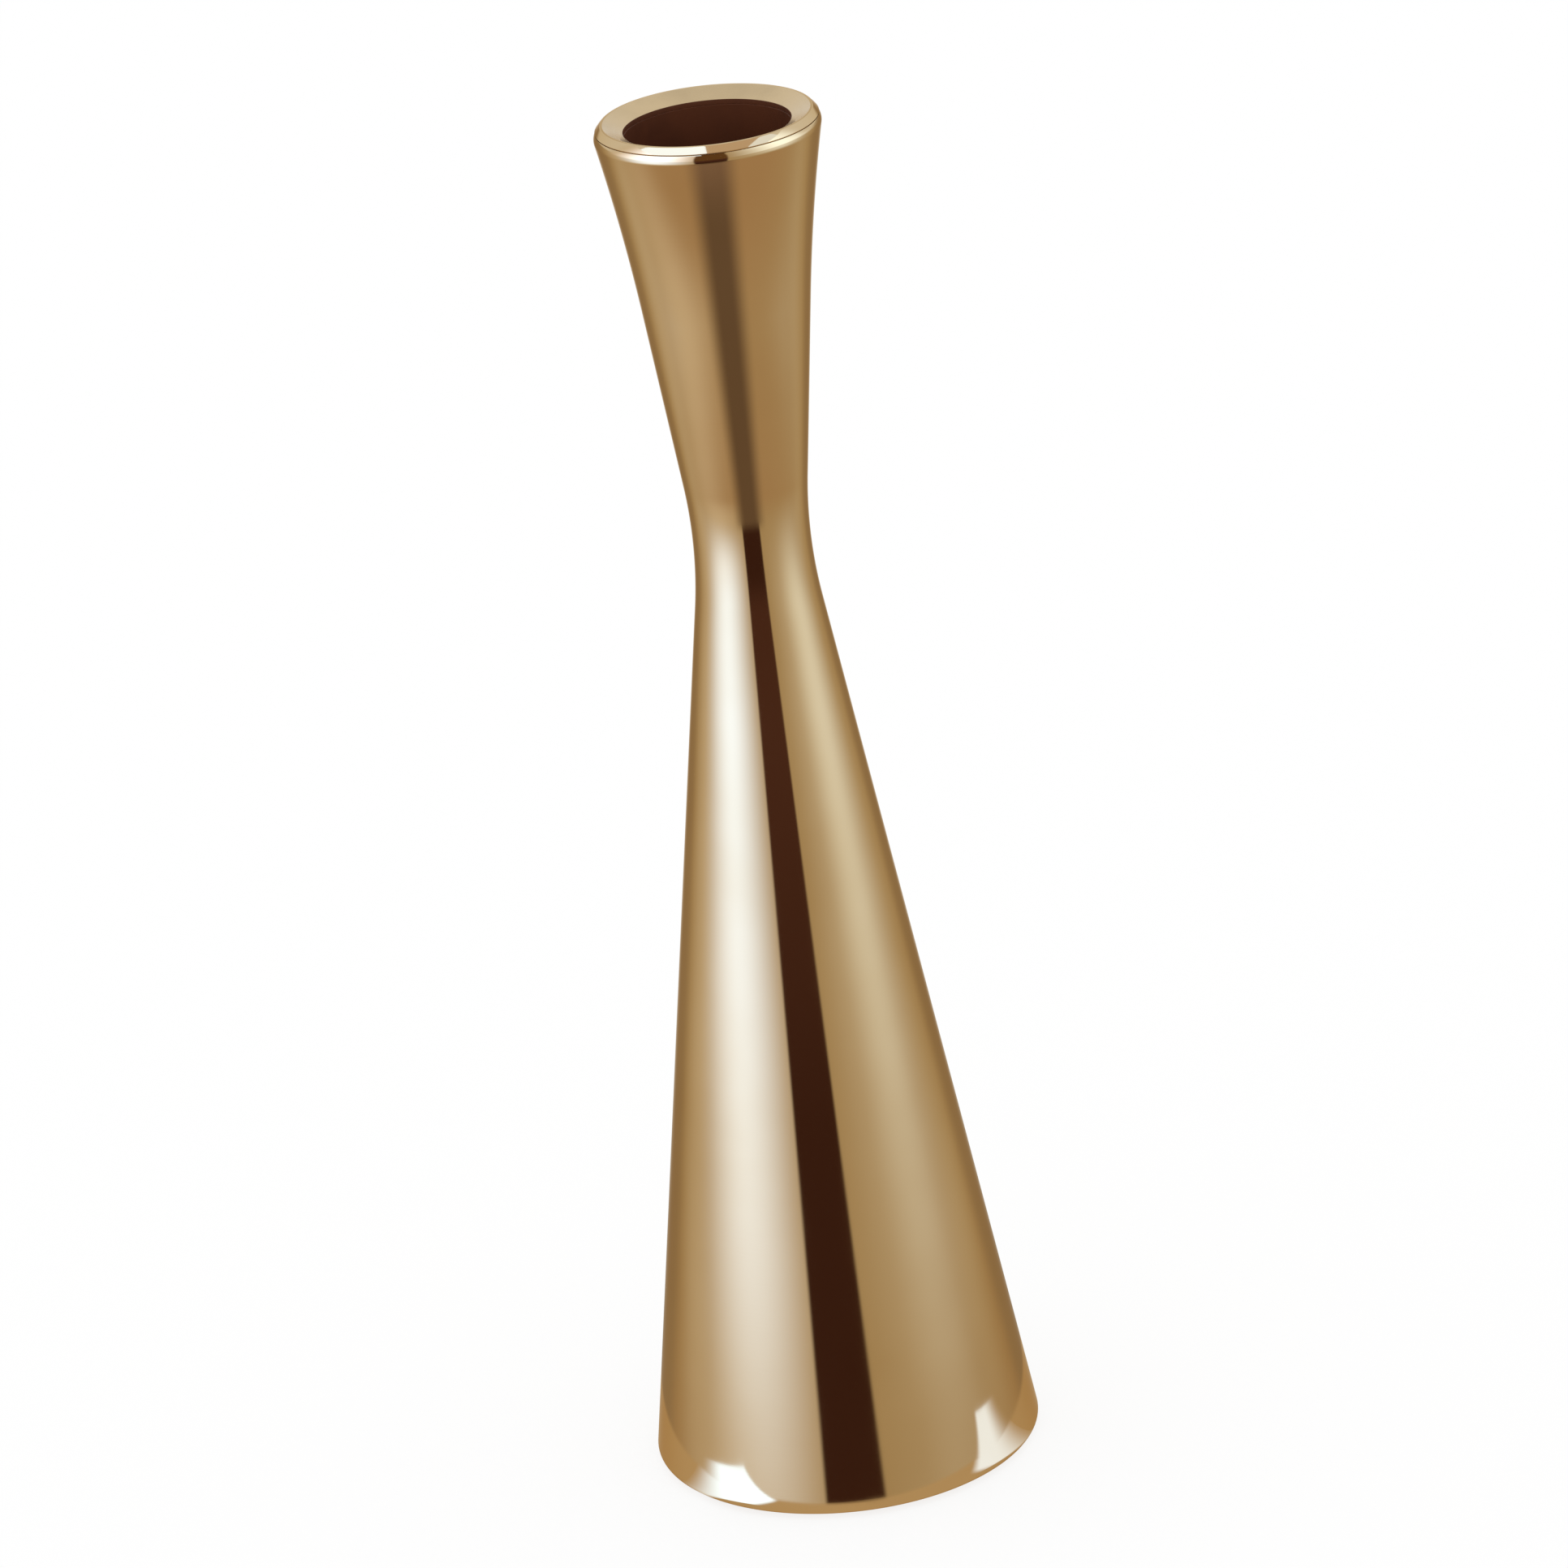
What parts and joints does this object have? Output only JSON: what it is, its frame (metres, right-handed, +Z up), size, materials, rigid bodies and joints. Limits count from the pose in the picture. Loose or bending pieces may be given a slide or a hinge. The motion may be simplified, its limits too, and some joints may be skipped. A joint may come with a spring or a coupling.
{
  "type": "candle holder",
  "caption": "Hourglass candlestick of polished brass: two cones meet at a slim waist, with a lift-out socket for a taper candle and a weighted, felted foot.",
  "frame": {"origin": "centre of the felt's underside, where the holder stands", "axes": "+Z up along the stem's axis; the stem is round, so X and Y are free"},
  "size_m": [0.0538, 0.0538, 0.1943],
  "materials": {
    "polished_brass": "spun, polished and clear lacquered",
    "dark_brown_enamel": "drawn steel with a baked dark brown finish",
    "turned_brass": "as turned, hidden",
    "zinc_plated_steel": "bright zinc plate, hidden",
    "cast_iron": "as cast, hidden",
    "felt": "pressed wool felt"
  },
  "bodies": {
    "holder": {"lower_shell": "polished_brass", "upper_shell": "polished_brass", "tie_rod": "zinc_plated_steel", "top_washer": "zinc_plated_steel", "top_nut": "zinc_plated_steel", "bottom_washer": "zinc_plated_steel", "bottom_lock_washer": "zinc_plated_steel", "bottom_nut": "zinc_plated_steel", "base_plate": "zinc_plated_steel", "clamp_cone": "turned_brass", "waist_sleeve": "turned_brass", "ballast_weight": "cast_iron", "felt_pad": "felt"},
    "candle_insert": {"rim_ring": "polished_brass", "candle_cup": "dark_brown_enamel"}
  },
  "joints": [
    {"name": "insert_lift", "type": "slide", "parent": "holder", "child": "candle_insert", "axis": [0, 0, 1], "range_m": [0, 0.03]}
  ]
}
